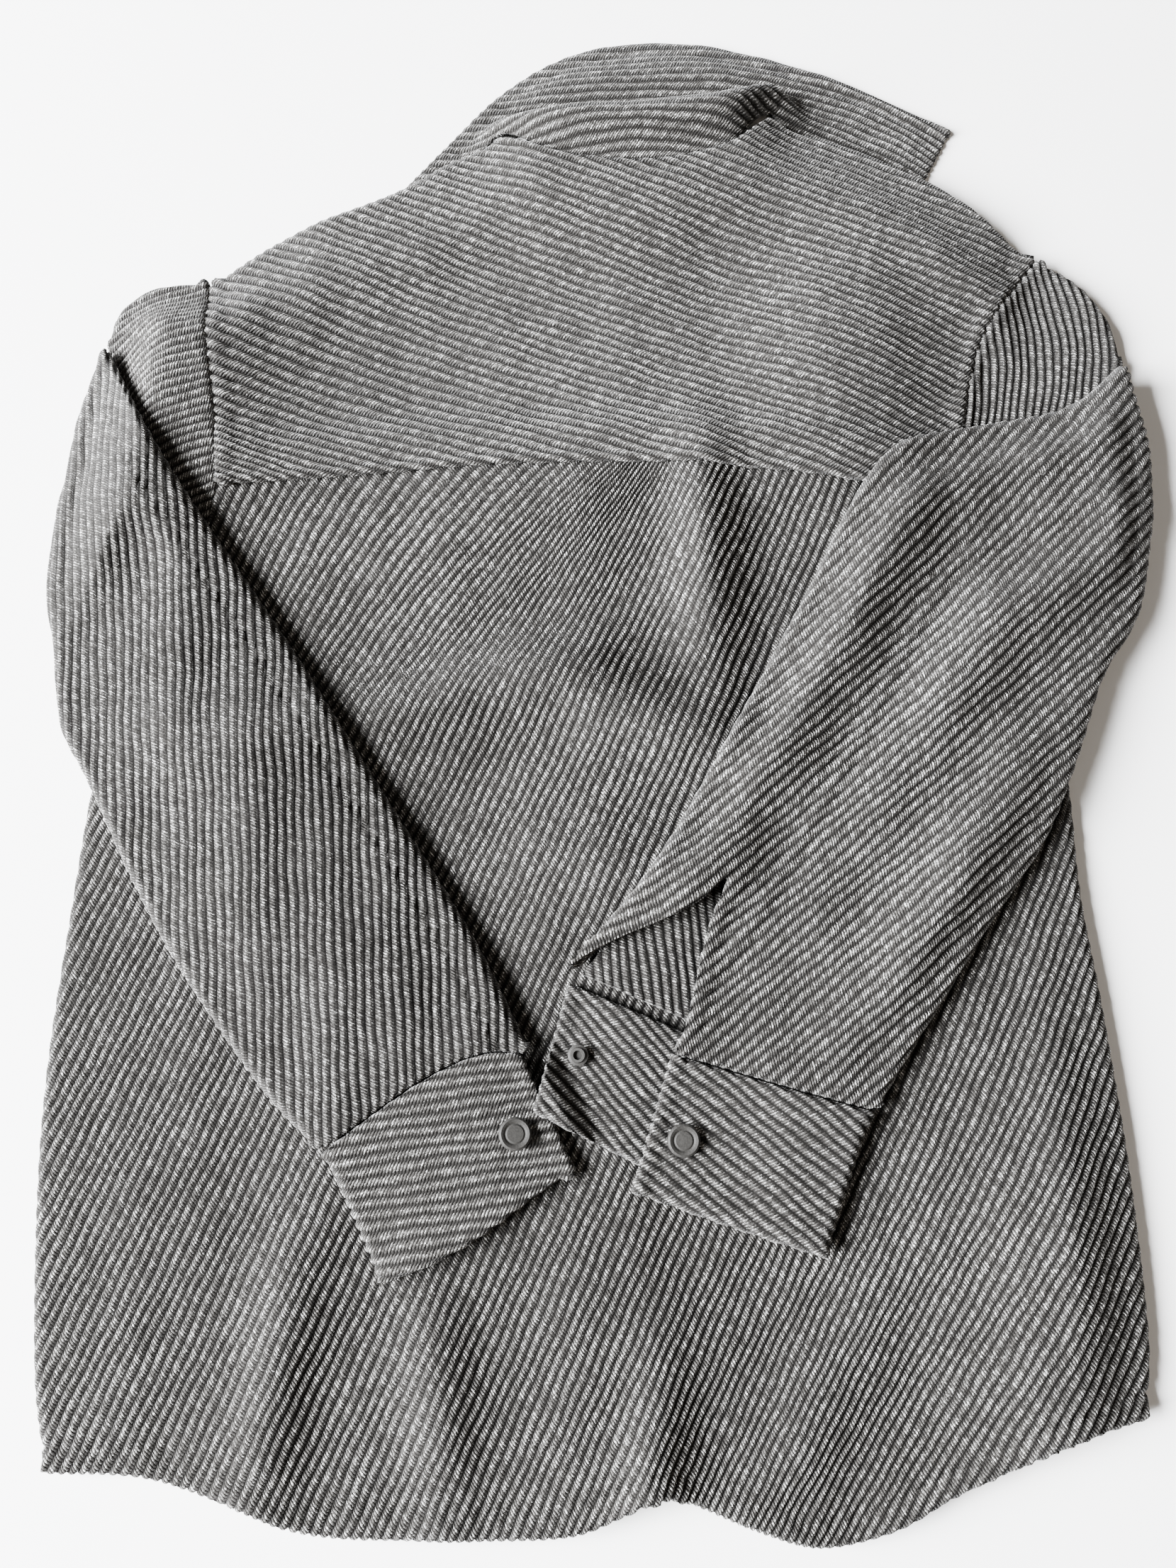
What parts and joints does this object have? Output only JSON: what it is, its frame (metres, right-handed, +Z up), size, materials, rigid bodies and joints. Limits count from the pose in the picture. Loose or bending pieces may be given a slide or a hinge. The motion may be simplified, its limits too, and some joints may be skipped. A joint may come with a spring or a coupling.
{
  "type": "shacket",
  "caption": "Thick twill shirt jacket lying face down, back up, with both sleeves folded over its back and its cuffs unfastened.",
  "frame": {"origin": "middle of the bounding box in X and Y, on the surface that the garment lies on", "axes": "+X to the right seen from above with the collar away, +Y towards the collar, +Z up from the surface"},
  "size_m": [0.6098, 0.831, 0.0354],
  "materials": {
    "twill_cloth": "brushed woollen twill, matt",
    "snap": "matt dark grey"
  },
  "bodies": {
    "root": {"front_left": "twill_cloth", "front_right": "twill_cloth", "back": "twill_cloth", "back_yoke": "twill_cloth", "collar": "twill_cloth", "sleeve_left": "twill_cloth", "sleeve_right": "twill_cloth", "cuff_left": "twill_cloth", "cuff_right": "twill_cloth", "snap_cap_left": "snap", "snap_cap_right": "snap", "snap_stud_right": "snap", "front_snap_1": "snap", "front_snap_2": "snap", "front_snap_3": "snap", "front_snap_4": "snap", "front_snap_5": "snap", "front_snap_6": "snap"}
  },
  "joints": []
}
